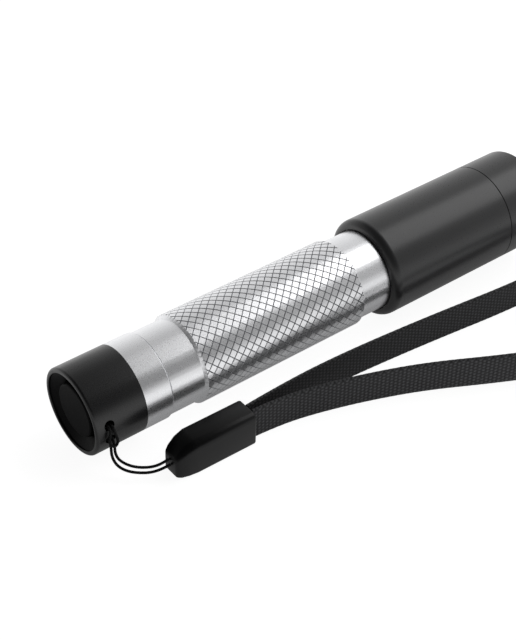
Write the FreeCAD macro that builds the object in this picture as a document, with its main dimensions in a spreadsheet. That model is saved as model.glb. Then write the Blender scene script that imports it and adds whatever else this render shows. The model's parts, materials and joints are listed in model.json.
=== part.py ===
import FreeCAD, Part
import math
import os

import Sketcher

# Slide-focus hand torch lying on its side, with a tail switch and a wrist lanyard.
# Millimetres. Lengths named *_x are stations along the torch's axis, counted from the tail rim.

# ---------------------------------------------------------------- driving dimensions
SIZES = {
    # tail cap and its recess
    "tail_radius": 13.0, "rim_round": 0.8, "rim_inner_round": 0.25,
    "recess_radius": 11.56, "recess_wall_x": 0.7, "recess_foot_x": 3.0, "button_bore": 8.45,
    "web_back_x": 6.4, "cap_bore": 10.7, "cap_x": 16.08,
    "eyelet_x": 4.13, "eyelet_radius": 1.55, "eyelet_bend": 2.45,
    # polished collar ring, screwed to the barrel
    "collar_back_x": 8.0, "collar_bore": 9.4, "collar_step_x": 17.0, "thread_bore": 11.05,
    "collar_x": 24.61, "collar_chamfer": 0.35,
    # push button and switch
    "button_x": 1.0, "button_radius": 8.0, "button_round": 0.7,
    "flange_x": 6.7, "flange_radius": 9.0, "flange_back_x": 7.7,
    "plunger_radius": 2.4, "plunger_x": 10.9, "plunger_bore": 2.75,
    "housing_x": 10.4, "housing_radius": 9.35, "housing_bore_x": 13.4, "board_x": 15.8,
    "switch_ring_x": 18.6, "switch_ring_radius": 11.0, "switch_ring_bore": 7.0,
    "spring_radius": 3.4, "spring_wire": 0.7, "spring_pitch": 1.9, "spring_clearance": 0.3,
    # barrel
    "spigot_x": 19.0, "spigot_radius": 11.0, "barrel_x": 24.76, "barrel_rear_radius": 12.57,
    "shoulder_x": 35.15, "grip_x": 35.89, "grip_radius": 13.54, "neck_x": 92.15,
    "neck_radius": 12.6, "stop_x": 115.0, "nose_radius": 12.0, "nose_x": 128.5,
    "cell_bore": 9.5, "pill_x": 104.0, "pill_radius": 10.2,
    "grip_chamfer": 0.35, "thread_groove_x": 22.6, "ring_groove_width": 1.5, "ring_groove_depth": 0.75,
    "thread_ring_x": 23.35, "thread_ring_wire": 0.35,
    # battery and light engine
    "cell_radius": 9.2, "cell_x": 25.0, "cell_length": 65.0, "cell_ring": 1.2,
    "cell_nub_radius": 3.2, "cell_nub_height": 1.6,
    "driver_x": 102.6, "driver_radius": 9.4, "pill_cavity_radius": 8.5, "pill_cavity_x": 110.0,
    "wire_hole": 1.5, "led_board_thick": 1.4, "led_board_radius": 10.0,
    "led_side": 3.5, "led_thick": 0.8, "led_dome_radius": 1.6,
    "stop_ring_radius": 13.6, "stop_ring_width": 2.0,
    # head
    "head_x": 102.6, "head_radius": 15.43, "lip_bore": 12.95, "lip_round": 2.45,
    "bush_seat_x": 104.2, "bush_seat_radius": 13.65, "bush_x": 104.5, "bush_length": 6.4,
    "bush_radius": 13.6, "bush_bore": 12.65, "bush_ring_x": 112.8, "bush_ring_width": 1.8,
    "focus_ring_x": 111.75, "focus_ring_wire": 0.47,
    "head_bore": 14.0, "head_thread_x": 142.0, "head_thread_bore": 14.6, "head_end_x": 149.65,
    "bezel_back_x": 142.5, "bezel_spigot_radius": 14.55, "bezel_spigot_bore": 13.4, "bezel_x": 149.95,
    "bezel_end_x": 164.9, "bezel_round": 0.6, "lens_seat_x": 150.2, "lens_seat_radius": 14.4,
    "lens_stop_x": 154.2, "bezel_bore": 13.7, "bezel_lip_x": 161.9, "bezel_lip_bore": 12.9,
    "bezel_flare_x": 162.9, "bezel_flare": 14.2,
    "lens_ring_width": 0.8, "lens_ring_bore": 12.4, "lens_x": 151.0, "lens_flange": 2.0,
    "lens_flange_radius": 14.2, "lens_radius": 13.5, "lens_dome_radius": 15.5, "lens_front_x": 161.0,
    "lens_seal_x": 153.7, "lens_seal_wire": 0.38,
    # lanyard
    "cord_diameter": 0.8, "strap_thick": 1.0, "strap_width": 10.5,
    "block_x": 15.0, "block_shoulder_x": 21.0, "block_end_x": 41.3, "block_y": -24.4,
    "block_depth": 8.0, "block_height": 10.8, "block_nose_depth": 6.0, "block_nose_height": 6.8,
    "block_round": 1.3,
}

doc = FreeCAD.newDocument("hand_torch")
sheet = doc.addObject("Spreadsheet::Sheet", "Sizes")
for row, (alias, value) in enumerate(SIZES.items(), start=1):
    sheet.set("A%d" % row, alias)
    sheet.set("B%d" % row, str(value))
    sheet.setAlias("B%d" % row, alias)
doc.recompute()


def size(alias):
    return float(sheet.get(alias))


# ---------------------------------------------------------------- how the torch lies
# It rests on the tail's edge and on the fuller rear lip of the head, so its axis rises a little.
tail_contact_x = size("rim_round")
lip_contact_x = size("head_x") + size("lip_round")
tilt = math.atan((size("head_radius") - size("tail_radius")) / (lip_contact_x - tail_contact_x))
axis_height = size("tail_radius") * math.cos(tilt) - tail_contact_x * math.sin(tilt)
low_x = -size("tail_radius") * math.sin(tilt) + size("rim_round") * math.sin(tilt)
high_x = size("bezel_end_x") * math.cos(tilt) + (size("head_radius") - size("bezel_round")) * math.sin(tilt)
middle_x = (low_x + high_x) / 2
LYING = FreeCAD.Placement(
    FreeCAD.Vector(-middle_x, 0, axis_height),
    FreeCAD.Rotation(FreeCAD.Vector(0, 1, 0), -math.degrees(tilt)),
)
ON_FLOOR = FreeCAD.Placement(FreeCAD.Vector(-middle_x, 0, 0), FreeCAD.Rotation())

# Ring edges nearer than this to a named station and radius are the ones meant.
SAME_RING = 0.01
# How far an arc may reach back along the shorter of the two runs it joins.
ARC_SHARE = 0.45

sub_parts = []


def keep(piece, label, placement):
    """Give a finished piece its label and its place, and list it for export."""
    piece.Label = label
    piece.Placement = placement
    sub_parts.append(piece)
    return piece


def cell(expression):
    """The same expression with every alias pointed at the spreadsheet."""
    words = expression.split(" ")
    return " ".join("Sizes." + word if word in SIZES else word for word in words)


# ---------------------------------------------------------------- turned pieces
def origin_plane(body, role):
    return [feature for feature in body.Origin.OriginFeatures if feature.Role == role][0]


def add_sketch(body, name, role="XY_Plane"):
    sketch = body.newObject("Sketcher::SketchObject", name)
    sketch.AttachmentSupport = [(origin_plane(body, role), "")]
    sketch.MapMode = "FlatFace"
    return sketch


def draw_outline(sketch, corners):
    """Close a polygon through (station, radius) corners, each bound to the spreadsheet."""
    points = [FreeCAD.Vector(number_for(along), number_for(out), 0) for along, out in corners]
    for index, point in enumerate(points):
        sketch.addGeometry(Part.LineSegment(point, points[(index + 1) % len(points)]), False)
    for index in range(len(points)):
        following = (index + 1) % len(points)
        sketch.addConstraint(Sketcher.Constraint("Coincident", index, 2, following, 1))
    for index, (along, out) in enumerate(corners):
        for kind, text, value in (("DistanceX", along, points[index].x), ("DistanceY", out, points[index].y)):
            number = sketch.addConstraint(Sketcher.Constraint(kind, -1, 1, index, 1, value))
            name = "%s%d" % (kind, index)
            sketch.renameConstraint(number, name)
            sketch.setExpression("Constraints." + name, cell(text))


def number_for(expression):
    """The number that a spreadsheet expression stands for."""
    total = 0.0
    sign = 1.0
    for word in expression.split(" "):
        if word in ("+", "-"):
            sign = 1.0 if word == "+" else -1.0
        else:
            total += sign * (size(word) if word in SIZES else float(word))
    return total


def ring_edges(shape, station, radius):
    """Names of the circular edges at one station and radius of a turned shape."""
    names = []
    for number, edge in enumerate(shape.Edges, start=1):
        curve = edge.Curve
        if isinstance(curve, Part.Circle) and abs(curve.Radius - radius) < SAME_RING:
            if abs(curve.Center.x - station) < SAME_RING:
                names.append("Edge%d" % number)
    return names


def dress(body, kind, amount, rings):
    """Round or chamfer the ring edges of a turned body."""
    doc.recompute()
    base = body.Tip
    names = [name for station, radius in rings
             for name in ring_edges(base.Shape, number_for(station), number_for(radius))]
    feature = body.newObject("PartDesign::" + kind, kind)
    feature.Base = (base, names)
    driven = "Radius" if kind == "Fillet" else "Size"
    setattr(feature, driven, size(amount))
    feature.setExpression(driven, cell(amount))
    body.Tip = feature
    doc.recompute()
    return feature


def turned(label, corners):
    """A body turned about the torch's axis from an outline of (station, radius) corners."""
    body = doc.addObject("PartDesign::Body", label)
    sketch = add_sketch(body, label + "_outline")
    draw_outline(sketch, corners)
    turn = body.newObject("PartDesign::Revolution", label + "_turn")
    turn.Profile = sketch
    turn.ReferenceAxis = (sketch, ["H_Axis"])
    turn.Angle = 360
    doc.recompute()
    return keep(body, label, LYING)


def ring(label, start, end, inner, outer):
    return turned(label, [(start, inner), (start, outer), (end, outer), (end, inner)])


def disc(label, start, end, outer):
    return ring(label, start, end, "0", outer)


def o_ring(label, station, radius, wire):
    """A round-section seal about the torch's axis."""
    seal = doc.addObject("Part::Torus", label)
    seal.setExpression("Radius1", cell(radius))
    seal.setExpression("Radius2", cell(wire))
    across = FreeCAD.Placement(FreeCAD.Vector(number_for(station), 0, 0),
                               FreeCAD.Rotation(FreeCAD.Vector(0, 1, 0), 90))
    return keep(seal, label, LYING.multiply(across))


def contact_spring(label, start, end):
    """A coil of round wire between two stations, its ends cut square by the flat faces beside it."""
    wire_radius = size("spring_wire") / 2
    length = number_for(end) - number_for(start) - 2 * wire_radius
    coil = Part.makeHelix(size("spring_pitch"), length, size("spring_radius"))
    section = Part.Wire([Part.makeCircle(wire_radius, FreeCAD.Vector(size("spring_radius"), 0, 0),
                                         FreeCAD.Vector(0, 1, 0))])
    spring = doc.addObject("Part::Feature", label)
    spring.Shape = Part.Wire(coil.Edges).makePipeShell([section], True, True)
    along = FreeCAD.Placement(FreeCAD.Vector(number_for(start) + wire_radius, 0, 0),
                              FreeCAD.Rotation(FreeCAD.Vector(0, 1, 0), 90))
    return keep(spring, label, LYING.multiply(along))


# ---------------------------------------------------------------- tail cap, collar and switch
def make_tail_cap():
    cap = turned("tail_cap_shell", [
        ("0", "recess_radius"), ("0", "tail_radius"), ("cap_x", "tail_radius"), ("cap_x", "cap_bore"),
        ("web_back_x", "cap_bore"), ("web_back_x", "button_bore"), ("recess_foot_x", "button_bore"),
        ("recess_wall_x", "recess_radius"),
    ])
    dress(cap, "Fillet", "rim_round", [("0", "tail_radius")])
    dress(cap, "Fillet", "rim_inner_round", [("0", "recess_radius")])
    solid_volume = cap.Shape.Volume
    # the lanyard passage: a bent drilling that goes in and comes out on the same side
    eyelet = cap.newObject("PartDesign::SubtractiveTorus", "eyelet_passage")
    eyelet.setExpression("Radius1", cell("eyelet_bend"))
    eyelet.setExpression("Radius2", cell("eyelet_radius"))
    eyelet.Placement = FreeCAD.Placement(
        FreeCAD.Vector(size("eyelet_x"), -size("tail_radius"), 0),
        FreeCAD.Rotation(FreeCAD.Vector(0, 1, 0), 90))
    cap.Tip = eyelet
    doc.recompute()
    print("eyelet passage removes", round(solid_volume - cap.Shape.Volume, 2), "mm3")
    cap.Placement = LYING
    return cap


make_tail_cap()

collar = turned("tail_collar_ring", [
    ("collar_back_x", "collar_bore"), ("collar_back_x", "cap_bore"), ("cap_x", "cap_bore"),
    ("cap_x", "tail_radius"), ("collar_x", "tail_radius"), ("collar_x", "thread_bore"),
    ("collar_step_x", "thread_bore"), ("collar_step_x", "collar_bore"),
])
dress(collar, "Chamfer", "collar_chamfer", [("collar_x", "tail_radius")])

button = turned("switch_button", [
    ("button_x", "0"), ("button_x", "button_radius"), ("flange_x", "button_radius"),
    ("flange_x", "flange_radius"), ("flange_back_x", "flange_radius"), ("flange_back_x", "0"),
])
dress(button, "Fillet", "button_round", [("button_x", "button_radius")])
disc("button_plunger", "flange_back_x", "plunger_x", "plunger_radius")

turned("switch_housing", [
    ("housing_x", "plunger_bore"), ("housing_x", "housing_radius"), ("board_x", "housing_radius"),
    ("board_x", "0"), ("housing_bore_x", "0"), ("housing_bore_x", "plunger_bore"),
])
disc("switch_board", "board_x", "collar_step_x", "housing_radius")
ring("switch_retainer_ring", "collar_step_x", "switch_ring_x", "switch_ring_bore", "switch_ring_radius")
contact_spring("tail_contact_spring", "collar_step_x", "cell_x - spring_clearance")
o_ring("thread_o_ring", "thread_ring_x", "spigot_radius - thread_ring_wire", "thread_ring_wire")

# ---------------------------------------------------------------- barrel and what it holds
barrel = turned("barrel_tube", [
    ("spigot_x", "cell_bore"), ("spigot_x", "spigot_radius"), ("thread_groove_x", "spigot_radius"),
    ("thread_groove_x", "spigot_radius - ring_groove_depth"),
    ("thread_groove_x + ring_groove_width", "spigot_radius - ring_groove_depth"),
    ("thread_groove_x + ring_groove_width", "spigot_radius"),
    ("barrel_x", "spigot_radius"), ("barrel_x", "barrel_rear_radius"),
    ("shoulder_x", "barrel_rear_radius"), ("grip_x", "grip_radius"), ("neck_x", "grip_radius"),
    ("neck_x", "neck_radius"), ("stop_x", "neck_radius"), ("stop_x", "nose_radius"),
    ("nose_x", "nose_radius"), ("nose_x", "pill_radius"), ("pill_x", "pill_radius"),
    ("pill_x", "cell_bore"),
])
dress(barrel, "Chamfer", "grip_chamfer", [("neck_x", "grip_radius")])

turned("battery_can", [
    ("cell_x", "0"), ("cell_x", "cell_radius"),
    ("cell_x + cell_length", "cell_radius"), ("cell_x + cell_length", "0"),
])
ring("battery_insulator", "cell_x + cell_length", "cell_x + cell_length + cell_ring",
     "cell_nub_radius", "cell_radius")
disc("battery_positive_cap", "cell_x + cell_length", "cell_x + cell_length + cell_nub_height",
     "cell_nub_radius")
contact_spring("driver_contact_spring",
               "cell_x + cell_length + cell_nub_height + spring_clearance", "driver_x")
disc("driver_board", "driver_x", "pill_x", "driver_radius")
turned("led_pill", [
    ("pill_x", "pill_cavity_radius"), ("pill_x", "pill_radius"), ("nose_x", "pill_radius"),
    ("nose_x", "wire_hole"), ("pill_cavity_x", "wire_hole"), ("pill_cavity_x", "pill_cavity_radius"),
])
disc("led_board", "nose_x", "nose_x + led_board_thick", "led_board_radius")


def make_led():
    """A square light emitter on the board's face, under a clear hemisphere."""
    emitter = doc.addObject("Part::Box", "led_emitter")
    for edge, alias in (("Length", "led_thick"), ("Width", "led_side"), ("Height", "led_side")):
        emitter.setExpression(edge, cell(alias))
    front_x = number_for("nose_x + led_board_thick")
    corner = FreeCAD.Vector(front_x, -size("led_side") / 2, -size("led_side") / 2)
    keep(emitter, "led_emitter", LYING.multiply(FreeCAD.Placement(corner, FreeCAD.Rotation())))

    dome = doc.addObject("Part::Sphere", "led_dome")
    dome.setExpression("Radius", cell("led_dome_radius"))
    dome.Angle1 = 0
    forward = FreeCAD.Placement(FreeCAD.Vector(front_x + size("led_thick"), 0, 0),
                                FreeCAD.Rotation(FreeCAD.Vector(0, 1, 0), 90))
    keep(dome, "led_dome", LYING.multiply(forward))


make_led()
ring("front_stop_ring", "stop_x", "stop_x + stop_ring_width", "nose_radius", "stop_ring_radius")

# ---------------------------------------------------------------- sliding head
ring("head_guide_bush", "bush_x", "bush_x + bush_length", "bush_bore", "bush_radius")
o_ring("focus_o_ring", "focus_ring_x", "bush_bore + focus_ring_wire", "focus_ring_wire")
ring("bush_retainer_ring", "bush_ring_x", "bush_ring_x + bush_ring_width", "lip_bore", "head_bore")

head = turned("head_sleeve", [
    ("head_x", "lip_bore"), ("head_x", "head_radius"), ("head_end_x", "head_radius"),
    ("head_end_x", "head_thread_bore"), ("head_thread_x", "head_thread_bore"),
    ("head_thread_x", "head_bore"), ("bush_ring_x", "head_bore"), ("bush_ring_x", "bush_seat_radius"),
    ("bush_seat_x", "bush_seat_radius"), ("bush_seat_x", "lip_bore"),
])
dress(head, "Fillet", "lip_round", [("head_x", "head_radius")])

bezel = turned("bezel_ring", [
    ("bezel_back_x", "bezel_spigot_bore"), ("bezel_back_x", "bezel_spigot_radius"),
    ("bezel_x", "bezel_spigot_radius"), ("bezel_x", "head_radius"), ("bezel_end_x", "head_radius"),
    ("bezel_end_x", "bezel_flare"), ("bezel_flare_x", "bezel_lip_bore"),
    ("bezel_lip_x", "bezel_lip_bore"), ("bezel_lip_x", "bezel_bore"), ("lens_stop_x", "bezel_bore"),
    ("lens_stop_x", "lens_seat_radius"), ("lens_seat_x", "lens_seat_radius"),
    ("lens_seat_x", "bezel_spigot_bore"),
])
dress(bezel, "Fillet", "bezel_round", [("bezel_end_x", "head_radius")])
ring("lens_retainer_ring", "lens_seat_x", "lens_x", "lens_ring_bore", "lens_seat_radius")


def make_lens():
    """A flat-backed lens: a flange and, in front of it, a slice of a ball."""
    flange = doc.addObject("Part::Cylinder", "lens_flange")
    flange.setExpression("Radius", cell("lens_flange_radius"))
    flange.setExpression("Height", cell("lens_flange"))
    barrel_of_lens = doc.addObject("Part::Cylinder", "lens_barrel")
    barrel_of_lens.setExpression("Radius", cell("lens_radius"))
    barrel_of_lens.setExpression("Height", cell("lens_front_x - lens_x"))
    ball = doc.addObject("Part::Sphere", "lens_ball")
    ball.setExpression("Radius", cell("lens_dome_radius"))
    ball.setExpression("Placement.Base.z", cell("lens_front_x - lens_x - lens_dome_radius"))
    dome = doc.addObject("Part::Common", "lens_dome")
    dome.Base = barrel_of_lens
    dome.Tool = ball
    lens = doc.addObject("Part::Fuse", "focus_lens")
    lens.Base = flange
    lens.Tool = dome
    forward = FreeCAD.Placement(FreeCAD.Vector(size("lens_x"), 0, 0),
                                FreeCAD.Rotation(FreeCAD.Vector(0, 1, 0), 90))
    keep(lens, "focus_lens", LYING.multiply(forward))


make_lens()
o_ring("lens_seal", "lens_seal_x", "lens_seat_radius - lens_seal_wire", "lens_seal_wire")

# ---------------------------------------------------------------- wrist lanyard
# Points are (station along the torch, distance across, height above the floor).
CORD_ROUTE = [
    (size("block_x"), -24.75, 4.4), (12.6, -23.9, 3.3), (10.0, -22.6, 2.6), (7.6, -21.0, 2.6),
    (5.4, -19.3, 3.0), (3.9, -17.4, 3.7), (3.2, -15.7, 4.9), (3.1, -14.5, 6.8), (3.5, -13.9, 8.8),
    # up through the curved passage, the first strand
    (3.7, -12.9, 10.6), (3.7, -11.3, 11.5), (3.7, -10.8, 13.1), (3.7, -11.3, 14.7), (3.65, -12.8, 15.4),
    # the hitch: out, down, across in front of both strands and back up
    (3.6, -13.85, 14.7), (3.4, -13.95, 13.2), (3.0, -14.05, 11.8), (2.95, -14.6, 10.4),
    (4.17, -15.1, 9.6), (5.4, -14.6, 10.4), (5.35, -14.05, 11.8), (4.95, -13.95, 13.2),
    (4.7, -13.85, 14.7),
    # back through the passage, the second strand
    (4.65, -12.8, 15.4), (4.65, -11.3, 14.7), (4.65, -10.8, 13.1), (4.65, -11.3, 11.5),
    (4.65, -12.9, 10.6), (4.6, -13.9, 8.8), (4.3, -14.4, 6.8), (4.5, -15.4, 5.2), (5.4, -17.1, 4.3),
    (6.9, -18.9, 3.7), (8.9, -20.6, 3.5), (11.1, -22.1, 3.7), (13.2, -23.2, 4.5),
    (size("block_x"), -23.9, 5.7),
]
# Middle line of the strap's band, seen from above, out along the front and home along the back.
STRAP_ROUTE = [
    (size("block_end_x"), -25.6), (51.0, -26.1), (63.0, -28.6), (78.0, -33.2), (94.0, -39.5), (112.0, -49.0),
    (130.0, -57.5), (149.0, -63.5), (168.0, -64.0), (182.0, -54.5), (184.5, -41.0), (175.0, -31.0),
    (157.0, -27.8), (136.0, -26.9), (115.0, -24.8), (94.0, -23.1), (74.0, -22.0), (56.0, -22.1),
    (size("block_end_x"), -23.2),
]


def tangent_runs(points):
    """Straight runs joined by arcs that touch them, each arc as large as its two runs allow."""
    edges = []
    radii = []
    start = points[0]
    for before, corner, after in zip(points, points[1:], points[2:]):
        arriving = (corner - before).normalize()
        leaving = (after - corner).normalize()
        half_turn = arriving.getAngle(leaving) / 2
        setback = ARC_SHARE * min((corner - before).Length, (after - corner).Length)
        radius = setback / math.tan(half_turn)
        inward = (leaving - arriving).normalize()
        centre = corner + inward * (radius / math.cos(half_turn))
        first = corner - arriving * setback
        last = corner + leaving * setback
        edges.append(Part.LineSegment(start, first).toShape())
        edges.append(Part.Arc(first, centre - inward * radius, last).toShape())
        radii.append(radius)
        start = last
    edges.append(Part.LineSegment(start, points[-1]).toShape())
    return edges, radii


def make_cord():
    points = [FreeCAD.Vector(*point) for point in CORD_ROUTE]
    edges, radii = tangent_runs(points)
    path = Part.Wire(edges)
    radius = size("cord_diameter") / 2
    section = Part.Wire([Part.makeCircle(radius, points[0], points[1] - points[0])])
    cord = doc.addObject("Part::Feature", "lanyard_cord")
    cord.Shape = path.makePipeShell([section], True, False)
    wanted = math.pi * radius ** 2 * path.Length
    print("cord length %.1f, volume %.2f for %.2f" % (path.Length, cord.Shape.Volume, wanted))
    print("cord radii", " ".join("%.1f" % value for value in radii))
    keep(cord, "lanyard_cord", ON_FLOOR)


def make_strap():
    """The band stands on its edge: a thin outline along the route, pulled up by its width."""
    points = [FreeCAD.Vector(along, across, 0) for along, across in STRAP_ROUTE]
    edges, radii = tangent_runs(points)
    half = size("strap_thick") / 2
    path = Part.Wire(edges)
    section = Part.Wire(Part.makePolygon([
        points[0] + FreeCAD.Vector(0, -half, 0), points[0] + FreeCAD.Vector(0, half, 0),
        points[0] + FreeCAD.Vector(0, half, size("strap_width")),
        points[0] + FreeCAD.Vector(0, -half, size("strap_width")),
        points[0] + FreeCAD.Vector(0, -half, 0)]))
    strap = doc.addObject("Part::Feature", "lanyard_strap")
    strap.Shape = path.makePipeShell([section], True, False)
    wanted = size("strap_thick") * size("strap_width") * path.Length
    print("strap length %.1f, volume %.1f for %.1f" % (path.Length, strap.Shape.Volume, wanted))
    print("strap radii", " ".join("%.0f" % value for value in radii))
    keep(strap, "lanyard_strap", ON_FLOOR)


def draw_block_section(body, name, station, depth, height):
    """A round-cornered rectangle across the block at one station, centred on the strap."""
    sketch = add_sketch(body, name, "YZ_Plane")
    sketch.AttachmentOffset = FreeCAD.Placement(FreeCAD.Vector(0, 0, size(station)), FreeCAD.Rotation())
    middle = FreeCAD.Vector(size("block_y"), size("block_height") / 2, 0)
    reach_out = size(depth) / 2 - size("block_round")
    reach_up = size(height) / 2 - size("block_round")
    centres = [middle + FreeCAD.Vector(side * reach_out, up * reach_up, 0)
               for side, up in ((1, -1), (1, 1), (-1, 1), (-1, -1))]
    # four corner arcs, 0 to 3, then the four sides between them, 4 to 7
    for index, centre in enumerate(centres):
        corner = Part.Circle(centre, FreeCAD.Vector(0, 0, 1), size("block_round"))
        start = math.radians(90 * index - 90)
        sketch.addGeometry(Part.ArcOfCircle(corner, start, start + math.pi / 2), False)
    for index in range(4):
        side = Part.LineSegment(sketch.Geometry[index].EndPoint, sketch.Geometry[(index + 1) % 4].StartPoint)
        sketch.addGeometry(side, False)
    for index in range(4):
        sketch.addConstraint(Sketcher.Constraint("Tangent", index, 2, index + 4, 1))
        sketch.addConstraint(Sketcher.Constraint("Tangent", index + 4, 2, (index + 1) % 4, 1))
        upright = "Vertical" if index % 2 == 0 else "Horizontal"
        sketch.addConstraint(Sketcher.Constraint(upright, index + 4))
    for index in (1, 2, 3):
        sketch.addConstraint(Sketcher.Constraint("Equal", 0, index))
    limits = (
        ("corner", Sketcher.Constraint("Radius", 0, size("block_round")), "block_round"),
        ("wide", Sketcher.Constraint("DistanceX", 6, 1, 4, 1, size(depth)), depth),
        ("tall", Sketcher.Constraint("DistanceY", 7, 1, 5, 1, size(height)), height),
        ("across", Sketcher.Constraint("DistanceX", -1, 1, 6, 1, middle.x - size(depth) / 2),
         "block_y - %s / 2" % depth),
        ("above", Sketcher.Constraint("DistanceY", -1, 1, 7, 1, middle.y - size(height) / 2),
         "block_height / 2 - %s / 2" % height),
    )
    for label, constraint, text in limits:
        number = sketch.addConstraint(constraint)
        sketch.renameConstraint(number, label)
        sketch.setExpression("Constraints." + label, cell(text))
    return sketch


def make_connector():
    """A moulded block with rounded long edges, narrowed towards the cord."""
    block = doc.addObject("PartDesign::Body", "lanyard_connector")
    sections = [
        draw_block_section(block, "strap_end", "block_end_x", "block_depth", "block_height"),
        draw_block_section(block, "shoulder", "block_shoulder_x", "block_depth", "block_height"),
        draw_block_section(block, "cord_end", "block_x", "block_nose_depth", "block_nose_height"),
    ]
    doc.recompute()
    loft = block.newObject("PartDesign::AdditiveLoft", "block_loft")
    loft.Profile = sections[0]
    loft.Sections = sections[1:]
    loft.Ruled = True
    doc.recompute()
    block.Tip = loft
    keep(block, "lanyard_connector", ON_FLOOR)


make_cord()
make_connector()
make_strap()

# ---------------------------------------------------------------- checks and export
doc.recompute()
for feature in doc.Objects:
    faults = [state for state in feature.State if state in ("Invalid", "Error")]
    if faults:
        raise RuntimeError("%s: %s" % (feature.Label, ", ".join(faults)))

for piece in sub_parts:
    if piece.Shape.isNull() or not piece.Shape.isValid():
        raise RuntimeError(piece.Label + " has no valid shape")
    if len(piece.Shape.Solids) != 1:
        raise RuntimeError("%s has %d solids" % (piece.Label, len(piece.Shape.Solids)))

os.makedirs("parts", exist_ok=True)
for piece in sub_parts:
    piece.Shape.exportStep("parts/%s.step" % piece.Label)
    box = piece.Shape.BoundBox
    print("%-24s %9.1f mm3  x %7.2f %7.2f  y %7.2f %7.2f  z %6.2f %6.2f" % (
        piece.Label, piece.Shape.Volume, box.XMin, box.XMax, box.YMin, box.YMax, box.ZMin, box.ZMax))
print("tilt %.3f deg, shift %.3f, axis height %.3f" % (math.degrees(tilt), -middle_x, axis_height))
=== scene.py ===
import json
import math

import bmesh
import bpy
from mathutils import Matrix, Vector


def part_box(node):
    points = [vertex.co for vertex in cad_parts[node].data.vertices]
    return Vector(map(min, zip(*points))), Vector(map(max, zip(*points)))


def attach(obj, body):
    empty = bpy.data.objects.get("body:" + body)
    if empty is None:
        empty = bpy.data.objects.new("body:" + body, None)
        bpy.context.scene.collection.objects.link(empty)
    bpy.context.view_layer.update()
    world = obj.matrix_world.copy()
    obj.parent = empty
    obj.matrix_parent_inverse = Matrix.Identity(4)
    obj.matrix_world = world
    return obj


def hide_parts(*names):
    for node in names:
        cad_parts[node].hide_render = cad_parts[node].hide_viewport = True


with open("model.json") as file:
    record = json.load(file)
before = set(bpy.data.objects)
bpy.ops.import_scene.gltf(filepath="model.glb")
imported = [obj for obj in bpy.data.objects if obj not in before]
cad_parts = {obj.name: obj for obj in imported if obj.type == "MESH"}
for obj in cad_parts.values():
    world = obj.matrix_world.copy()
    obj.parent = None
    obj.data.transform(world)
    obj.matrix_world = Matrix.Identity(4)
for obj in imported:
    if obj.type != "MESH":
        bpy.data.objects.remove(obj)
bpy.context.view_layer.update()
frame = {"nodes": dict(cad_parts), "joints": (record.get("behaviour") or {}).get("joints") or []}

# A hand torch with a sliding head, lying on its side, and its wrist lanyard.
# Lengths in the dictionaries are millimetres, and mm makes them metres.
mm = 0.001
touching = 0.01 * mm   # nearer than this counts as the same place
fineCut = 0.001 * mm   # a bisect may move no vertex further than this
scene = bpy.context.scene
scene.view_settings.view_transform = "Standard"

# The barrel's screw joint gives the torch's axis. Stations are counted along it from the tail rim.
unscrew = next(joint for joint in frame["joints"] if joint["name"] == "barrel_unscrew")
barrelStation = 24.76
alongTorch = Vector(unscrew["axis"]).normalized()
tilt = math.atan2(alongTorch.z, alongTorch.x)
tailEnd = Vector(unscrew["pos_m"]) - alongTorch * barrelStation * mm
layDown = Matrix.Translation(tailEnd) @ Matrix.Rotation(-tilt, 4, "Y")
onFloor = Matrix.Translation((tailEnd.x, 0, 0))   # the lanyard lies on the floor, untilted


cameraView = {
    "target": (63.16, 0, 0.32),   # in the torch's own frame
    "distance": 434.5,
    "heading": 38.35,   # degrees from +Y towards +X
    "down": 38.96,
    "roll": 1.36,
    "lens": 85.01,
}


def makeCamera(view):
    data = bpy.data.cameras.new("camera")
    data.lens = view["lens"]
    data.clip_start = 0.02
    turn = Matrix.Rotation(-math.radians(view["heading"]), 4, "Z")
    turn @= Matrix.Rotation(math.radians(90 - view["down"]), 4, "X")
    turn @= Matrix.Rotation(math.radians(view["roll"]), 4, "Z")
    target = layDown @ (Vector(view["target"]) * mm)
    back = turn.to_3x3() @ Vector((0, 0, view["distance"] * mm))
    camera = bpy.data.objects.new("camera", data)
    camera.matrix_world = Matrix.Translation(target + back) @ turn
    scene.collection.objects.link(camera)
    scene.camera = camera


makeCamera(cameraView)
print("camera placed")


# Selects one piece alone, for the operators that follow.
def choose(piece):
    bpy.ops.object.select_all(action="DESELECT")
    bpy.context.view_layer.objects.active = piece
    piece.select_set(True)


def edit(piece):
    choose(piece)
    bpy.ops.object.mode_set(mode="EDIT")


# Selects the vertices, edges or faces that pass the test.
def pick(piece, kind, wanted):
    bpy.ops.mesh.select_mode(type=kind)
    bpy.ops.mesh.select_all(action="DESELECT")
    mesh = bmesh.from_edit_mesh(piece.data)
    for part in {"VERT": mesh.verts, "EDGE": mesh.edges, "FACE": mesh.faces}[kind]:
        if wanted(part):
            part.select_set(True)
    bmesh.update_edit_mesh(piece.data)


def applyModifiers(piece):
    choose(piece)
    for modifier in list(piece.modifiers):
        bpy.ops.object.modifier_apply(modifier=modifier.name)


# Merges doubles, turns the faces outwards and softens what meets under this angle.
def finishMesh(piece, degrees):
    edit(piece)
    bpy.ops.mesh.select_all(action="SELECT")
    bpy.ops.mesh.remove_doubles(threshold=touching / 2)
    bpy.ops.mesh.normals_make_consistent(inside=False)
    bpy.ops.object.mode_set(mode="OBJECT")
    bpy.ops.object.shade_smooth_by_angle(angle=math.radians(degrees))


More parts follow.
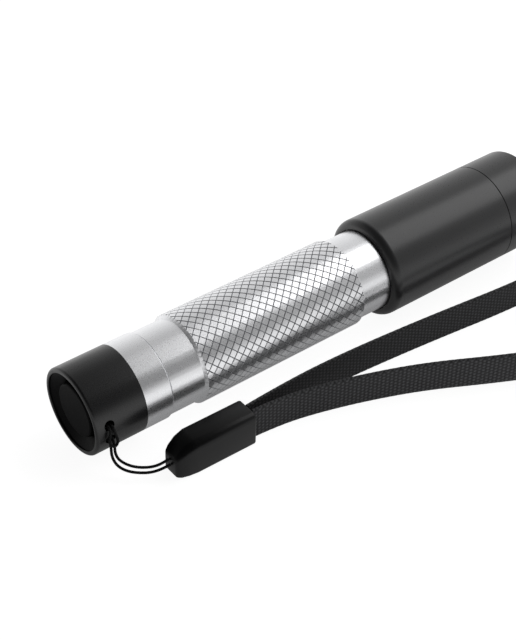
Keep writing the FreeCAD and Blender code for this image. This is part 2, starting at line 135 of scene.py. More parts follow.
# The cord's centreline: out of the connector, hitched through the eyelet in the tail cap, and back.
cordRoute = [
    (15.0, -24.75, 4.4), (12.6, -23.9, 3.3), (10.0, -22.6, 2.6), (7.6, -21.0, 2.6),
    (5.4, -19.3, 3.0), (3.9, -17.4, 3.7), (3.2, -15.7, 4.9), (3.1, -14.5, 6.8),
    (3.5, -13.9, 8.8), (3.7, -12.9, 10.6), (3.7, -11.3, 11.5), (3.7, -10.8, 13.1),
    (3.7, -11.3, 14.7), (3.65, -12.8, 15.4), (3.6, -13.85, 14.7), (3.4, -13.95, 13.2),
    (3.0, -14.05, 11.8), (2.95, -14.6, 10.4), (4.17, -15.1, 9.6), (5.4, -14.6, 10.4),
    (5.35, -14.05, 11.8), (4.95, -13.95, 13.2), (4.7, -13.85, 14.7), (4.65, -12.8, 15.4),
    (4.65, -11.3, 14.7), (4.65, -10.8, 13.1), (4.65, -11.3, 11.5), (4.65, -12.9, 10.6),
    (4.6, -13.9, 8.8), (4.3, -14.4, 6.8), (4.5, -15.4, 5.2), (5.4, -17.1, 4.3),
    (6.9, -18.9, 3.7), (8.9, -20.6, 3.5), (11.1, -22.1, 3.7), (13.2, -23.2, 4.5),
    (15.0, -23.9, 5.7),
]
cord = {
    "diameter": 0.8,
    "length": 70.0,
    "exit": (4.2, -13.4, 10.6),   # the eyelet's lower mouth
    "strands": 8,
    "stitch": 0.5,
    "gap": 0.04,   # between one strand and the next
    "relief": 0.05,
    "crease": 60,
}

# The strap's centreline on the floor: out of the connector, round the loop, and back.
strapRoute = [
    (41.3, -25.6), (51.0, -26.1), (63.0, -28.6), (78.0, -33.2), (94.0, -39.5),
    (112.0, -49.0), (130.0, -57.5), (149.0, -63.5), (168.0, -64.0), (182.0, -54.5),
    (184.5, -41.0), (175.0, -31.0), (157.0, -27.8), (136.0, -26.9), (115.0, -24.8),
    (94.0, -23.1), (74.0, -22.0), (56.0, -22.1), (41.3, -23.2),
]
strap = {
    "width": 10.5,
    "thickness": 0.9,
    "length": 310.0,
    "exit": (41.3, -25.6, 5.25),
    "repeat": 2.5,
    "columns": 4,   # in one repeat: floats stand on every second one
    "rows": 18,
    "float": 0.24,
    "selvedge": 0.12,
    "crease": 60,
}


# A smooth line through the route, and the points that it passes.
def drawRoute(name, places, twist):
    line = bpy.data.curves.new(name, "CURVE")
    line.dimensions = "3D"
    line.twist_mode = twist
    spline = line.splines.new("NURBS")
    spline.points.add(len(places) - 1)
    for point, place in zip(spline.points, places):
        point.co = (*(onFloor @ (Vector(place) * mm)), 1)
    spline.order_u = 3
    spline.use_endpoint_u = True
    route = bpy.data.objects.new(name, line)
    scene.collection.objects.link(route)
    bpy.context.view_layer.update()
    drawn = bpy.data.meshes.new_from_object(route)
    path = [vertex.co.copy() for vertex in drawn.vertices]
    bpy.data.meshes.remove(drawn)
    return route, path


def lengthOf(path):
    return sum((b - a).length for a, b in zip(path, path[1:]))


# One repeat of the weave becomes a row as long as the route, and the row is bent onto it.
def layAlong(piece, route, count, thickness):
    row = piece.modifiers.new("row", "ARRAY")
    row.count = count
    row.use_merge_vertices = True
    row.merge_threshold = touching
    if thickness:
        wall = piece.modifiers.new("wall", "SOLIDIFY")
        wall.thickness = thickness * mm
        wall.offset = 0
    soft = piece.modifiers.new("soft", "SUBSURF")
    soft.levels = 1
    soft.render_levels = 1
    bend = piece.modifiers.new("bend", "CURVE")
    bend.object = route
    applyModifiers(piece)
    bpy.data.objects.remove(route)


def makeCord():
    route, path = drawRoute("cord_line", cordRoute, "MINIMUM")
    count = round(lengthOf(path) / (cord["stitch"] * mm))
    stitch = lengthOf(path) / count
    bpy.ops.object.select_all(action="DESELECT")
    bpy.ops.mesh.primitive_cylinder_add(
        vertices=cord["strands"], radius=(cord["diameter"] / 2 - cord["relief"] / 2) * mm, depth=stitch,
        end_fill_type="NOTHING", location=(stitch / 2, 0, 0), rotation=(0, math.pi / 2, 0))
    braid = bpy.context.object
    bpy.ops.object.transform_apply(location=True, rotation=True, scale=True)
    edit(braid)
    bpy.ops.mesh.select_all(action="SELECT")
    bpy.ops.mesh.bisect(plane_co=(stitch / 2, 0, 0), plane_no=(1, 0, 0), threshold=fineCut)
    strand = 2 * math.pi / cord["strands"]

    # every second patch stands proud, where one strand passes over the next
    def strandOnTop(face):
        middle = face.calc_center_median()
        around = math.floor(math.atan2(middle.z, middle.y) / strand)
        return (around + (middle.x > stitch / 2)) % 2 == 0

    pick(braid, "FACE", strandOnTop)
    bpy.ops.mesh.inset(thickness=cord["gap"] * mm, use_individual=True)
    bpy.ops.transform.shrink_fatten(value=2 * cord["relief"] * mm)
    bpy.ops.object.mode_set(mode="OBJECT")
    braid.name = "lanyard_cord_braid"
    layAlong(braid, route, count, 0)
    edit(braid)
    bpy.ops.mesh.select_all(action="SELECT")
    bpy.ops.mesh.fill_holes(sides=0)
    bpy.ops.object.mode_set(mode="OBJECT")
    finishMesh(braid, cord["crease"])
    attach(braid, "tail")
    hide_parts("lanyard_cord")
    print("cord braided, %.1f mm in %d stitches" % (lengthOf(path) / mm, count))
    return braid, path


def makeStrap():
    places = [(x, y, strap["width"] / 2) for x, y in strapRoute]
    route, path = drawRoute("strap_line", places, "Z_UP")
    count = round(lengthOf(path) / (strap["repeat"] * mm))
    repeat = lengthOf(path) / count
    width = (strap["width"] - 2 * strap["selvedge"]) * mm
    bpy.ops.object.select_all(action="DESELECT")
    bpy.ops.mesh.primitive_grid_add(
        x_subdivisions=strap["columns"], y_subdivisions=strap["rows"], size=1)
    web = bpy.context.object
    web.scale = (repeat, width, 1)
    web.location = (repeat / 2, 0, 0)
    bpy.ops.object.transform_apply(location=True, rotation=True, scale=True)
    edit(web)

    def column(vertex):
        return round(vertex.co.x / repeat * strap["columns"])

    def row(vertex):
        return round((vertex.co.y / width + 0.5) * strap["rows"])

    # floats stand proud in a brick pattern, and the weft turns bead the two edges
    def isFloat(vertex):
        inside = 0 < row(vertex) < strap["rows"]
        return inside and column(vertex) % 2 == 0 and (column(vertex) // 2 + row(vertex)) % 2 == 1

    def isBead(vertex):
        return row(vertex) in (0, strap["rows"]) and column(vertex) % 2 == 1

    bpy.ops.object.mode_set(mode="OBJECT")
    # the floats and edge beads are marked for a painted highlight on their crowns
    crownHighlight = web.data.attributes.new("crownHighlight", "FLOAT", "POINT")
    crownHighlight.data.foreach_set("value", [float(isFloat(v) or isBead(v)) for v in web.data.vertices])
    edit(web)
    pick(web, "VERT", isFloat)
    bpy.ops.transform.translate(value=(0, 0, strap["float"] * mm))
    for edge, side in ((0, -1), (strap["rows"], 1)):
        pick(web, "VERT", lambda vertex: row(vertex) == edge and isBead(vertex))
        bpy.ops.transform.translate(value=(0, side * strap["selvedge"] * mm, 0))
    bpy.ops.object.mode_set(mode="OBJECT")
    web.rotation_euler.x = math.pi / 2   # stands on its edge
    bpy.ops.object.transform_apply(location=True, rotation=True, scale=True)
    web.name = "wrist_strap"
    layAlong(web, route, count, strap["thickness"])
    finishMesh(web, strap["crease"])
    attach(web, "tail")
    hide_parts("lanyard_strap")
    print("strap woven, %.1f mm in %d repeats" % (lengthOf(path) / mm, count))
    return web, path


cordPiece, cordPath = makeCord()
strapPiece, strapPath = makeStrap()


connector = {
    "shoulder": (21.8, 8.0, 10.8),   # station, depth and height of the full section
    # station, depth, height and the height of its middle: it narrows and dips to the cord
    "nose": [(19.0, 7.6, 9.8, 5.05), (16.8, 6.8, 8.2, 4.45), (15.2, 5.6, 6.2, 3.95)],
    "facet": 1.2,   # flat cut along the upper front edge
    "facetDrop": 0.5,   # it widens towards the nose
    "facetRun": 0.4,
    "round": 0.8,
    "roundSteps": 4,
    "sharp": 20,   # degrees: flatter edges aren't rounded
    "crease": 40,
}


def makeConnector():
    low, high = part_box("lanyard_connector")
    station, depth, height = connector["shoulder"]
    shoulder = tailEnd.x + station * mm
    middle = (low + high) / 2
    bpy.ops.object.select_all(action="DESELECT")
    bpy.ops.mesh.primitive_cube_add(size=1, location=((shoulder + high.x) / 2, middle.y, middle.z))
    block = bpy.context.object
    block.scale = (high.x - shoulder, high.y - low.y, high.z - low.z)
    bpy.ops.object.transform_apply(location=True, rotation=True, scale=True)
    edit(block)

    def onUpperFrontEdge(edge):
        a, b = (vertex.co for vertex in edge.verts)
        return min(a.z, b.z) > high.z - touching and max(a.y, b.y) < low.y + touching

    pick(block, "EDGE", onUpperFrontEdge)
    bpy.ops.mesh.bevel(offset=connector["facet"] * mm, segments=1)

    def atNose(vertex):
        return vertex.co.x < shoulder + touching

    pick(block, "VERT",
         lambda v: atNose(v) and v.co.y < middle.y and middle.z < v.co.z < high.z - touching)
    bpy.ops.transform.translate(value=(0, 0, -connector["facetDrop"] * mm))
    pick(block, "VERT", lambda v: atNose(v) and low.y + touching < v.co.y < middle.y)
    bpy.ops.transform.translate(value=(0, connector["facetRun"] * mm, 0))
    pick(block, "FACE", lambda face: face.normal.x < -0.9)
    before = (station, depth, height, middle.z / mm)
    for section in connector["nose"]:
        bpy.ops.mesh.extrude_region_move(TRANSFORM_OT_translate={
            "value": ((section[0] - before[0]) * mm, 0, (section[3] - before[3]) * mm)})
        bpy.ops.transform.resize(
            value=(1, section[1] / before[1], section[2] / before[2]),
            center_override=(tailEnd.x + section[0] * mm, middle.y, section[3] * mm))
        before = section
    bpy.ops.object.mode_set(mode="OBJECT")
    edge = block.modifiers.new("edge", "BEVEL")
    edge.width = connector["round"] * mm
    edge.segments = connector["roundSteps"]
    edge.limit_method = "ANGLE"
    edge.angle_limit = math.radians(connector["sharp"])
    applyModifiers(block)
    block.name = "lanyard_connector_block"
    finishMesh(block, connector["crease"])
    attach(block, "tail")
    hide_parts("lanyard_connector")
    print("connector moulded")
    return block


connectorPiece = makeConnector()


barrel = {
    "radius": 13.54,   # over the flats of the knurl
    "starts": 30,   # grooves each way round
    "pitch": 2.87,
    "grooveWidth": 0.34,
    "grooveDepth": 0.25,
    "crease": 25,
    "rear": 35.89,   # the knurl's two ends
    "front": 91.8,
    # (station, radius) from each end of the knurl, down to the bore
    "toRear": [
        (35.75, 13.27), (35.15, 12.57), (24.86, 12.57), (barrelStation, 12.47),
        (barrelStation, 11.0), (24.1, 11.0), (24.1, 10.25), (22.6, 10.25), (22.6, 11.0),
        (19.0, 11.0), (19.0, 9.5)],
    "toFront": [
        (91.95, 13.27), (92.15, 13.1), (92.15, 12.6), (115.0, 12.6), (115.0, 12.0),
        (128.5, 12.0), (128.5, 10.2), (104.0, 10.2), (104.0, 9.5)],
}


# The barrel is cut flat, like sheet, x along the torch and z its height over the flats, then rolled up.
def makeBarrel():
    spare = 2   # rows and columns that are trimmed off, so that the pattern runs out cleanly
    pitch = barrel["pitch"] * mm
    around = 2 * math.pi * barrel["radius"] * mm
    cell = around / barrel["starts"]
    rear, front = barrel["rear"] * mm, barrel["front"] * mm
    rows = math.ceil((front - rear) / pitch) + spare
    columns = barrel["starts"] + spare
    bpy.ops.object.select_all(action="DESELECT")
    bpy.ops.mesh.primitive_grid_add(x_subdivisions=rows, y_subdivisions=columns, size=1)
    tube = bpy.context.object
    tube.scale = (rows * pitch, columns * cell, 1)
    tube.location = ((rear + front) / 2, 0, -barrel["grooveDepth"] * mm)
    bpy.ops.object.transform_apply(location=True, rotation=True, scale=True)
    edit(tube)
    bpy.ops.mesh.select_all(action="SELECT")
    bpy.ops.mesh.poke()

    def isGridLine(edge):
        run = edge.verts[1].co - edge.verts[0].co
        return not edge.is_boundary and min(abs(run.x), abs(run.y)) < touching

    pick(tube, "EDGE", isGridLine)
    bpy.ops.mesh.dissolve_edges(use_verts=False)
    bpy.ops.mesh.select_all(action="SELECT")
    bpy.ops.mesh.inset(thickness=barrel["grooveWidth"] / 2 * mm, use_individual=True)
    bpy.ops.transform.translate(value=(0, 0, barrel["grooveDepth"] * mm))
    bpy.ops.mesh.select_all(action="SELECT")
    bpy.ops.mesh.subdivide(number_cuts=1)
    for place, outward in (
            ((rear, 0, 0), (-1, 0, 0)), ((front, 0, 0), (1, 0, 0)),
            ((0, -around / 2, 0), (0, -1, 0)), ((0, around / 2, 0), (0, 1, 0))):
        bpy.ops.mesh.select_all(action="SELECT")
        bpy.ops.mesh.bisect(plane_co=place, plane_no=outward, clear_outer=True, threshold=fineCut)
    for end, rings in ((rear, barrel["toRear"]), (front, barrel["toFront"])):
        pick(tube, "EDGE", lambda edge: all(abs(v.co.x - end) < fineCut for v in edge.verts))
        for station, radius in rings:
            height = (radius - barrel["radius"]) * mm
            bpy.ops.mesh.extrude_region_move(TRANSFORM_OT_translate={"value": (station * mm - end, 0, 0)})
            bpy.ops.transform.resize(value=(1, 1, 0), center_override=(station * mm, 0, height))
            end = station * mm
    bpy.ops.object.mode_set(mode="OBJECT")
    tube.rotation_euler.x = math.pi / 2
    bpy.ops.object.transform_apply(location=True, rotation=True, scale=True)
    roll = tube.modifiers.new("roll", "SIMPLE_DEFORM")
    roll.deform_method = "BEND"
    roll.deform_axis = "X"
    roll.angle = 2 * math.pi
    applyModifiers(tube)
    edit(tube)
    bpy.ops.mesh.select_all(action="SELECT")
    bpy.ops.mesh.remove_doubles(threshold=touching)
    bpy.ops.mesh.select_mode(type="EDGE")
    bpy.ops.mesh.select_all(action="DESELECT")
    bpy.ops.mesh.select_non_manifold()
    bpy.ops.mesh.bridge_edge_loops()
    bpy.ops.object.mode_set(mode="OBJECT")
    tube.data.transform(layDown @ Matrix.Translation((0, -barrel["radius"] * mm, 0)))
    tube.name = "knurled_barrel"
    finishMesh(tube, barrel["crease"])
    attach(tube, "barrel")
    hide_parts("barrel_tube")
    print("barrel rolled, %d faces" % len(tube.data.polygons))
    return tube


barrelPiece = makeBarrel()


# The recess in the tail cap is painted darker than its outside: painted shade.
tailCap = {
    "recess": 11.75,   # radius just outside the recess
    "lip": 0.3,   # the cap's rim keeps the outer finish
    "depth": 9.0,
    "crease": 30,
}


def makeTailCap():
    cap = bpy.data.objects.new("tail_cap", frame["nodes"]["tail_cap_shell"].data.copy())
    scene.collection.objects.link(cap)
    choose(cap)
    bpy.ops.mesh.customdata_custom_splitnormals_clear()
    finishMesh(cap, tailCap["crease"])
    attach(cap, "tail")
    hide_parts("tail_cap_shell")
    return cap


# Gives the second material, the recess's painted shade, to the faces inside the recess.
def paintRecessShade(cap, material):
    cap.data.materials.append(material)
    standUp = layDown.inverted()
    for face in cap.data.polygons:
        place = standUp @ face.center
        deep = tailCap["lip"] * mm < place.x < tailCap["depth"] * mm
        face.material_index = int(deep and math.hypot(place.y, place.z) < tailCap["recess"] * mm)


capPiece = makeTailCap()
print("tail cap copied")


# An sRGB hex code as the linear colour that a shader takes.
def colour(hexCode):
    channels = [int(hexCode[i:i + 2], 16) / 255 for i in (1, 3, 5)]
    linear = [c / 12.92 if c <= 0.04045 else ((c + 0.055) / 1.055) ** 2.4 for c in channels]
    return (*linear, 1)


def newMaterial(name):
    material = bpy.data.materials.new(name)
    material.use_nodes = True
    material.node_tree.nodes.clear()
    return material


# Adds a node. A setting is an input or a property of it, and a socket given to an input is linked.
def addNode(tree, kind, settings):
    node = tree.nodes.new("ShaderNode" + kind)
    for name, value in settings.items():
        if not isinstance(name, int) and name not in node.inputs.keys():
            setattr(node, name, value)
        elif isinstance(value, bpy.types.NodeSocket):
            tree.links.new(value, node.inputs[name])
        else:
            node.inputs[name].default_value = value
    return node


# Object coordinates turned into the torch's own frame, in millimetres: x is the station.
def torchPlace(tree):
    place = addNode(tree, "TexCoord", {})
    laid = addNode(tree, "Mapping", {
        "vector_type": "TEXTURE", "Vector": place.outputs["Object"],
        "Location": tailEnd, "Rotation": (0, -tilt, 0), "Scale": (mm, mm, mm)})
    return laid.outputs[0]


# Turned or moulded finishes. Grain and cloud sizes are in millimetres, bump is the grain's height.
finishes = {
    # anodised aluminium, blasted then dyed black: a satin skin over fine grit
    # grit of 0.1 mm is drawn at 0.25 mm so that it shows
    "blackAnodisedCap": {"base": "#121213", "cloud": "#171718", "rough": (0.26, 0.34), "grain": 0.25,
                         "bump": 0.0035, "lathe": 0.35, "latheBump": 0.0006},
    # the head's copy of the same anodising is painted lighter than the cap's: painted light, for the light
    # that falls on the head
    "litBlackAnodisedHead": {"base": "#29292a", "cloud": "#2e2e2f", "rough": (0.27, 0.35), "grain": 0.25,
                          "bump": 0.003, "lathe": 0.35, "latheBump": 0.0006},
    # clear anodised aluminium, turned and lightly blasted: a satin sheen over the tool's fine rings
    "polishedAluminium": {"base": "#ececee", "cloud": "#e4e5e7", "metallic": 1, "rough": (0.26, 0.34),
                          "grain": 0.3, "bump": 0.0007, "lathe": 0.3, "latheBump": 0.001},
    # aluminium turned and left bare, duller than the anodised parts
    "bareAluminium": {"base": "#c4c6c8", "cloud": "#b4b6b8", "metallic": 1, "rough": (0.3, 0.42),
                      "grain": 0.4, "bump": 0.002, "lathe": 0.4, "latheBump": 0.004},
    # silicone rubber, moulded in a spark-eroded tool: matt and slightly soft looking
    "siliconeRubber": {"base": "#050506", "cloud": "#080809", "rough": (0.5, 0.6), "grain": 0.3,
                       "bump": 0.006, "specular": 0.06},
    # the same anodising inside the recess, rougher, and painted near black with little shine: painted shade
    "recessShadeAnodised": {"base": "#050506", "cloud": "#080809", "rough": (0.4, 0.55), "grain": 0.3,
                      "bump": 0.004, "specular": 0.12},
    # nitrile rubber rings, lightly greased
    "nitrileRubber": {"base": "#0a0a0a", "cloud": "#121212", "rough": (0.3, 0.42), "grain": 0.5,
                      "bump": 0.004},
    # glass-filled nylon, moulded matt
    "blackNylon": {"base": "#111112", "cloud": "#171718", "rough": (0.5, 0.6), "grain": 0.4, "bump": 0.006},
    # acetal, moulded: slippery, slightly translucent white
    "whiteAcetal": {"base": "#e9e8e3", "cloud": "#dddcd6", "rough": (0.35, 0.45), "grain": 0.6,
                    "bump": 0.003},
    # brass, turned, just beginning to tarnish
    "turnedBrass": {"base": "#d6b36a", "cloud": "#b8934c", "metallic": 1, "rough": (0.22, 0.34),
                    "grain": 0.6, "bump": 0.002, "lathe": 0.35, "latheBump": 0.003},
    # spring steel wire with a gold flash, drawn smooth
    "goldFlashedWire": {"base": "#d9c48a", "cloud": "#c8b077", "metallic": 1, "rough": (0.18, 0.26),
                        "grain": 0.3, "bump": 0.001},
    # steel can ends, nickel plated
    "nickelPlate": {"base": "#cfcdc8", "cloud": "#c2c0ba", "metallic": 1, "rough": (0.2, 0.3),
                    "grain": 0.5, "bump": 0.002},
    # shrink sleeve on the cell, glossy film that follows small dents
    "shrinkSleeve": {"base": "#1f4f8f", "cloud": "#1b4680", "rough": (0.2, 0.28), "grain": 2.5,
                     "bump": 0.02},
    # phosphor cast in silicone over the chip
    "phosphor": {"base": "#e0c23a", "cloud": "#d2b22c", "rough": (0.45, 0.6), "grain": 0.15, "bump": 0.004},
}


def makeFinish(name, finish):
    material = newMaterial(name)
    tree = material.node_tree
    place = torchPlace(tree)
    cloud = addNode(tree, "TexNoise", {"Vector": place, "Scale": 1 / 9, "Detail": 3.0})
    tint = addNode(tree, "Mix", {
        "data_type": "RGBA", 0: cloud.outputs[0], 6: colour(finish["base"]), 7: colour(finish["cloud"])})
    grain = addNode(tree, "TexNoise", {"Vector": place, "Scale": 1 / finish["grain"], "Detail": 2.0})
    low, high = finish["rough"]
    rough = addNode(tree, "MapRange", {
        "Value": grain.outputs[0], "From Min": 0.3, "From Max": 0.7, "To Min": low, "To Max": high})
    relief = addNode(tree, "Bump", {
        "Height": grain.outputs[0], "Strength": 0.6, "Distance": finish["bump"] * mm})
    if "lathe" in finish:
        rings = addNode(tree, "TexWave", {
            "Vector": place, "Scale": 2 * math.pi / 20 / finish["lathe"], "Distortion": 0.6,
            "Detail": 2.0, "Detail Scale": 2.0})
        relief = addNode(tree, "Bump", {
            "Height": rings.outputs[1], "Strength": 0.6, "Distance": finish["latheBump"] * mm,
            "Normal": relief.outputs[0]})
    shader = addNode(tree, "BsdfPrincipled", {
        "Base Color": tint.outputs[2], "Metallic": finish.get("metallic", 0),
        "Specular IOR Level": finish.get("specular", 0.5), "Roughness": rough.outputs[0],
        "Normal": relief.outputs[0]})
    addNode(tree, "OutputMaterial", {"Surface": shader.outputs[0]})
    return material


knurlGrooveShade = {"grooveShade": "#8b8c8f", "edge": 0.04}   # the colour of the painted shade in the grooves; edge: how far down the painted shade starts, in mm


# The polished finish, with painted shade darkening the knurl's grooves towards their bottoms.
def makeKnurled():
    material = makeFinish("knurledAluminium", finishes["polishedAluminium"])
    tree = material.node_tree
    shader = next(node for node in tree.nodes if node.type == "BSDF_PRINCIPLED")
    place = torchPlace(tree)
    axes = addNode(tree, "SeparateXYZ", {0: place})
    across = addNode(tree, "CombineXYZ", {1: axes.outputs[1], 2: axes.outputs[2]})
    radius = addNode(tree, "VectorMath", {"operation": "LENGTH", 0: across.outputs[0]})
    bottom = barrel["radius"] - barrel["grooveDepth"]
    depth = addNode(tree, "MapRange", {
        "Value": radius.outputs[1], "From Min": bottom, "From Max": barrel["radius"] - knurlGrooveShade["edge"],
        "To Min": 1.0, "To Max": 0.0})
    inKnurl = addNode(tree, "Math", {
        "operation": "COMPARE", 0: axes.outputs[0], 1: (barrel["rear"] + barrel["front"]) / 2,
        2: (barrel["front"] - barrel["rear"]) / 2})
    grooveShade = addNode(tree, "Math", {
        "operation": "MULTIPLY", 0: depth.outputs[0], 1: inKnurl.outputs[0], "use_clamp": True})
    # the grooves' base colour is mixed towards grey by depth: painted shade
    bright = shader.inputs["Base Color"].links[0].from_socket
    shadedGrooveColour = addNode(tree, "Mix", {
        "data_type": "RGBA", 0: grooveShade.outputs[0], 6: bright, 7: colour(knurlGrooveShade["grooveShade"])})
    tree.links.new(shadedGrooveColour.outputs[2], shader.inputs["Base Color"])
    return material


# ABS, moulded and lightly polished: soft highlights along the edges
def makeAbs():
    material = newMaterial("blackAbs")
    tree = material.node_tree
    place = addNode(tree, "TexCoord", {})
    grain = addNode(tree, "TexNoise", {
        "Vector": place.outputs["Object"], "Scale": 1 / (0.35 * mm), "Detail": 2.0})
    flow = addNode(tree, "TexNoise", {
        "Vector": place.outputs["Object"], "Scale": 1 / (7 * mm), "Detail": 1.0})
    tint = addNode(tree, "Mix", {
        "data_type": "RGBA", 0: flow.outputs[0], 6: colour("#040405"), 7: colour("#070708")})
    rough = addNode(tree, "MapRange", {
        "Value": grain.outputs[0], "From Min": 0.3, "From Max": 0.7, "To Min": 0.28, "To Max": 0.36})
    relief = addNode(tree, "Bump", {"Height": grain.outputs[0], "Strength": 0.5, "Distance": 0.003 * mm})
    shader = addNode(tree, "BsdfPrincipled", {
        "Base Color": tint.outputs[2], "Roughness": rough.outputs[0], "Specular IOR Level": 0.22,
        "Normal": relief.outputs[0]})
    addNode(tree, "OutputMaterial", {"Surface": shader.outputs[0]})
    return material


# Nylon yarn, woven: each float and edge bead gets a painted highlight along its crown, and is black beside
# it.
# Filaments are 0.02 mm, and their bundles are drawn 0.3 mm apart so that they show.
def makeYarn(name, across, along, base, crownHighlight):
    material = newMaterial(name)
    tree = material.node_tree
    place = addNode(tree, "TexCoord", {})
    laid = addNode(tree, "Mapping", {"Vector": place.outputs["UV"], "Scale": (along, across, 1)})
    bundles = addNode(tree, "TexWave", {
        "Vector": laid.outputs[0], "bands_direction": "Y", "Scale": 2 * math.pi / 20,
        "Distortion": 1.5, "Detail": 2.0, "Detail Scale": 3.0})
    fuzz = addNode(tree, "TexNoise", {
        "Vector": place.outputs["Object"], "Scale": 1 / (0.3 * mm), "Detail": 3.0})
    # the marked crowns take the lighter colour: painted highlight
    highlightMask = addNode(tree, "Attribute", {"attribute_name": "crownHighlight"})
    light = addNode(tree, "MapRange", {"Value": fuzz.outputs[0], "From Min": 0.3, "From Max": 0.7})
    light = addNode(tree, "Math", {
        "operation": "MULTIPLY_ADD", 0: light.outputs[0], 1: 0.3, 2: highlightMask.outputs["Fac"], "use_clamp": True})
    tint = addNode(tree, "Mix", {
        "data_type": "RGBA", 0: light.outputs[0], 6: colour(base), 7: colour(crownHighlight)})
    relief = addNode(tree, "Bump", {"Height": bundles.outputs[1], "Strength": 0.5, "Distance": 0.03 * mm})
    relief = addNode(tree, "Bump", {
        "Height": fuzz.outputs[0], "Strength": 0.4, "Distance": 0.03 * mm, "Normal": relief.outputs[0]})
    rough = addNode(tree, "MapRange", {"Value": bundles.outputs[1], "To Min": 0.5, "To Max": 0.7})
    shader = addNode(tree, "BsdfPrincipled", {
        "Base Color": tint.outputs[2], "Roughness": rough.outputs[0], "Sheen Weight": 0.04,
        "Specular IOR Level": 0.15, "Normal": relief.outputs[0]})
    addNode(tree, "OutputMaterial", {"Surface": shader.outputs[0]})
    return material


# Acrylic, moulded and polished: clear, with the slightest ripple
def makeAcrylic():
    material = newMaterial("clearAcrylic")
    tree = material.node_tree
    place = addNode(tree, "TexCoord", {})
    ripple = addNode(tree, "TexNoise", {
        "Vector": place.outputs["Object"], "Scale": 1 / (6 * mm), "Detail": 1.0})
    relief = addNode(tree, "Bump", {"Height": ripple.outputs[0], "Strength": 0.1, "Distance": 0.02 * mm})
    shader = addNode(tree, "BsdfPrincipled", {
        "Base Color": colour("#f7fafc"), "Roughness": 0.015, "IOR": 1.49, "Transmission Weight": 1.0,
        "Normal": relief.outputs[0]})
    addNode(tree, "OutputMaterial", {"Surface": shader.outputs[0]})
    return material


# Glass-cloth laminate under solder mask: the cloth's squares print through the green
def makeBoard():
    material = newMaterial("solderMask")
    tree = material.node_tree
    place = torchPlace(tree)
    cloth = addNode(tree, "TexChecker", {
        "Vector": place, "Scale": 1 / 0.5, "Color1": colour("#0f4a28"), "Color2": colour("#135530")})
    grain = addNode(tree, "TexNoise", {"Vector": place, "Scale": 1 / 0.6, "Detail": 2.0})
    relief = addNode(tree, "Bump", {"Height": cloth.outputs[1], "Strength": 0.4, "Distance": 0.01 * mm})
    rough = addNode(tree, "MapRange", {"Value": grain.outputs[0], "To Min": 0.25, "To Max": 0.4})
    shader = addNode(tree, "BsdfPrincipled", {
        "Base Color": cloth.outputs[0], "Roughness": rough.outputs[0], "Normal": relief.outputs[0]})
    addNode(tree, "OutputMaterial", {"Surface": shader.outputs[0]})
    return material


def dress(piece, material):
    piece.data.materials.clear()
    piece.data.materials.append(material)


made = {name: makeFinish(name, finish) for name, finish in finishes.items()}
made["clearAcrylic"] = makeAcrylic()
made["solderMask"] = makeBoard()
wears = {
    # the head and bezel wear the lighter copy, with painted light
    "litBlackAnodisedHead": ["head_sleeve", "bezel_ring"],
    "polishedAluminium": ["tail_collar_ring"],
    "bareAluminium": ["switch_retainer_ring", "front_stop_ring", "bush_retainer_ring", "lens_retainer_ring"],
    "siliconeRubber": ["switch_button"],
    "nitrileRubber": ["thread_o_ring", "focus_o_ring", "lens_seal"],
    "blackNylon": ["switch_housing"],
    "whiteAcetal": ["button_plunger", "battery_insulator", "head_guide_bush", "led_board"],
    "turnedBrass": ["led_pill"],
    "goldFlashedWire": ["tail_contact_spring", "driver_contact_spring"],
    "nickelPlate": ["battery_positive_cap"],
    "shrinkSleeve": ["battery_can"],
    "phosphor": ["led_emitter"],
    "clearAcrylic": ["focus_lens", "led_dome"],
    "solderMask": ["switch_board", "driver_board"],
}
for name, nodes in wears.items():
    for node in nodes:
        dress(frame["nodes"][node], made[name])
dress(capPiece, made["blackAnodisedCap"])
# the faces inside the recess get the painted shade
paintRecessShade(capPiece, made["recessShadeAnodised"])
dress(barrelPiece, makeKnurled())
dress(connectorPiece, makeAbs())
# the second colour is the painted highlight on the strap's crowns
dress(strapPiece, makeYarn("nylonWebbing", 32, 8, "#020203", "#4c4c4e"))
dress(cordPiece, makeYarn("braidedNylon", 8, 2, "#060607", "#121213"))
print("materials made")


# The floor and the studio are plain white where they are seen straight on. The light that they
# give the torch is lower and graded, which keeps its underside grey over a white ground.
floorGlow = {
    "side": 30.0,   # metres
    "seen": 0.93,
    "beneath": 0.24,   # strength of the light that it gives under the torch
    "beside": 0.95,
    "from": 14,   # mm from the torch's middle line, where the strength begins to climb
    "to": 52,
}


# Matt grey board that glows white
def makeFloor():
    bpy.ops.object.select_all(action="DESELECT")
    bpy.ops.mesh.primitive_plane_add(size=floorGlow["side"])
    floor = bpy.context.object
    floor.name = "floor"
    material = newMaterial("glowingBoard")
    tree = material.node_tree
    place = addNode(tree, "TexCoord", {})
    grain = addNode(tree, "TexNoise", {"Vector": place.outputs["Object"], "Scale": 1 / (40 * mm)})
    tint = addNode(tree, "Mix", {
        "data_type": "RGBA", 0: grain.outputs[0], 6: colour("#8c8c8c"), 7: colour("#909090")})
    axes = addNode(tree, "SeparateXYZ", {0: place.outputs["Object"]})
    aside = addNode(tree, "Math", {"operation": "ABSOLUTE", 0: axes.outputs[1]})
    spill = addNode(tree, "MapRange", {
        "Value": aside.outputs[0], "From Min": floorGlow["from"] * mm, "From Max": floorGlow["to"] * mm,
        "To Min": floorGlow["beneath"], "To Max": floorGlow["beside"]})
    seen = addNode(tree, "LightPath", {})
    glow = addNode(tree, "Mix", {
        0: seen.outputs["Is Camera Ray"], 2: spill.outputs[0], 3: floorGlow["seen"]})
    shader = addNode(tree, "BsdfPrincipled", {
        "Base Color": tint.outputs[2], "Roughness": 0.95, "Emission Color": colour("#ffffff"),
        "Emission Strength": glow.outputs[0]})
    addNode(tree, "OutputMaterial", {"Surface": shader.outputs[0]})
    dress(floor, material)


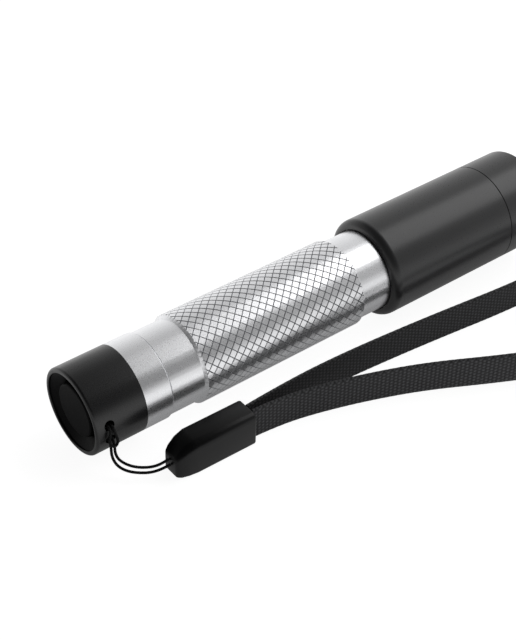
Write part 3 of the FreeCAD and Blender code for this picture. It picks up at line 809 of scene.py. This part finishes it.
# Overhead softbox towards the head, so that the neck is brighter than the collar; metres
softbox = {"place": (0.95, -0.2, 1.0), "size": (0.9, 0.95), "radiance": 1.5}


def makeSoftbox(box):
    data = bpy.data.lights.new("softbox", "AREA")
    data.shape = "RECTANGLE"
    data.size, data.size_y = box["size"]
    data.energy = box["radiance"] * 4 * data.size * data.size_y
    light = bpy.data.objects.new("softbox", data)
    light.location = box["place"]
    scene.collection.objects.link(light)


# Strengths by the way they lie: x runs towards the head, y away from the strap, z up.
studio = {
    "seen": 1.0,
    "overhead": -0.22,   # straight up, before the two slopes and the limits
    "perX": 1.6,
    "perY": 0.26,
    "least": 0.05,
    "most": 1.1,
    "climbFront": 0.36,   # how high the horizon's white reaches, over the strap's side
    "climbBack": 0.95,
    "horizonTail": 0.3,
    "horizonHead": 1.0,
}


def makeStudio():
    world = bpy.data.worlds.new("studio")
    world.use_nodes = True
    scene.world = world
    tree = world.node_tree
    tree.nodes.clear()
    way = addNode(tree, "TexCoord", {})
    axes = addNode(tree, "SeparateXYZ", {0: way.outputs["Generated"]})
    toBack = addNode(tree, "Math", {
        "operation": "MULTIPLY_ADD", 0: axes.outputs[1], 1: studio["perY"],
        2: studio["overhead"]})
    overhead = addNode(tree, "Math", {
        "operation": "MULTIPLY_ADD", 0: axes.outputs[0], 1: studio["perX"],
        2: toBack.outputs[0]})
    overhead = addNode(tree, "Math", {
        "operation": "MAXIMUM", 0: overhead.outputs[0], 1: studio["least"]})
    overhead = addNode(tree, "Math", {
        "operation": "MINIMUM", 0: overhead.outputs[0], 1: studio["most"]})
    reach = addNode(tree, "MapRange", {
        "Value": axes.outputs[1], "From Min": -0.7, "From Max": 0.7,
        "To Min": studio["climbFront"], "To Max": studio["climbBack"]})
    climb = addNode(tree, "MapRange", {
        "interpolation_type": "SMOOTHSTEP", "Value": axes.outputs[2], "From Min": 0.0,
        "From Max": reach.outputs[0]})
    horizon = addNode(tree, "MapRange", {
        "Value": axes.outputs[0], "From Min": -0.9, "From Max": -0.2,
        "To Min": studio["horizonTail"], "To Max": studio["horizonHead"]})
    glow = addNode(tree, "Mix", {0: climb.outputs[0], 2: horizon.outputs[0], 3: overhead.outputs[0]})
    seen = addNode(tree, "LightPath", {})
    glow = addNode(tree, "Mix", {
        0: seen.outputs["Is Camera Ray"], 2: glow.outputs[0], 3: studio["seen"]})
    background = addNode(tree, "Background", {"Strength": glow.outputs[0]})
    background.inputs[0].default_value = colour("#ffffff")
    addNode(tree, "OutputWorld", {"Surface": background.outputs[0]})


makeFloor()
makeSoftbox(softbox)
makeStudio()
print("floor and light set")
